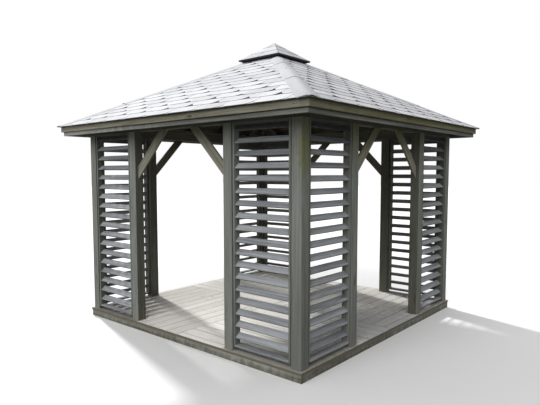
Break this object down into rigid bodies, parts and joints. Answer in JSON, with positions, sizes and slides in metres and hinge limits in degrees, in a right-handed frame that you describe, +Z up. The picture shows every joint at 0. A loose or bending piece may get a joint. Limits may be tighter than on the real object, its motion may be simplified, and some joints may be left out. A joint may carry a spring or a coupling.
{
  "type": "garden gazebo",
  "caption": "Square timber gazebo on a decked base, with louvred corner panels, braced open doorways and a hipped shingle roof with a raised cap.",
  "frame": {"origin": "centre of the footprint at ground level, on the underside of the base", "axes": "+X out of the right side, +Y out of the back, +Z up; the front, the left wall in the picture, faces -Y"},
  "size_m": [3.7292, 3.7292, 3.336],
  "materials": {
    "joist_wood": "weathered",
    "deck_wood": "weathered, grooved",
    "skirt_wood": "weathered",
    "post_wood": "weathered",
    "louvre_wood": "weathered",
    "brace_wood": "weathered",
    "beam_wood": "weathered",
    "rafter_wood": "sawn",
    "boarding_wood": "planed",
    "lower_fascia_wood": "weathered",
    "upper_fascia_wood": "weathered",
    "shingle": "mineral granules",
    "hip_cap": "mineral granules",
    "cap_edge": "mineral granules"
  },
  "bodies": {
    "root": {"base_frame": "joist_wood", "braces_back": "brace_wood", "braces_front": "brace_wood", "braces_left": "brace_wood", "braces_right": "brace_wood", "cap_kerb": "cap_edge", "cap_roof": "cap_edge", "corner_post_back_left": "post_wood", "corner_post_back_right": "post_wood", "corner_post_front_left": "post_wood", "corner_post_front_right": "post_wood", "deck_boards": "deck_wood", "door_post_back_left": "post_wood", "door_post_back_right": "post_wood", "door_post_front_left": "post_wood", "door_post_front_right": "post_wood", "door_post_left_left": "post_wood", "door_post_left_right": "post_wood", "door_post_right_left": "post_wood", "door_post_right_right": "post_wood", "hip_caps": "hip_cap", "hip_rafters": "rafter_wood", "louvre_panel_back_left": "louvre_wood", "louvre_panel_back_right": "louvre_wood", "louvre_panel_front_left": "louvre_wood", "louvre_panel_front_right": "louvre_wood", "louvre_panel_left_left": "louvre_wood", "louvre_panel_left_right": "louvre_wood", "louvre_panel_right_left": "louvre_wood", "louvre_panel_right_right": "louvre_wood", "lower_fascia": "lower_fascia_wood", "rafters": "rafter_wood", "roof_boarding_back": "boarding_wood", "roof_boarding_front": "boarding_wood", "roof_boarding_left": "boarding_wood", "roof_boarding_right": "boarding_wood", "roof_boss": "rafter_wood", "shingles": "shingle", "skirt_boards": "skirt_wood", "top_beam_back": "beam_wood", "top_beam_front": "beam_wood", "top_beam_left": "beam_wood", "top_beam_right": "beam_wood", "upper_fascia": "upper_fascia_wood"}
  },
  "joints": []
}
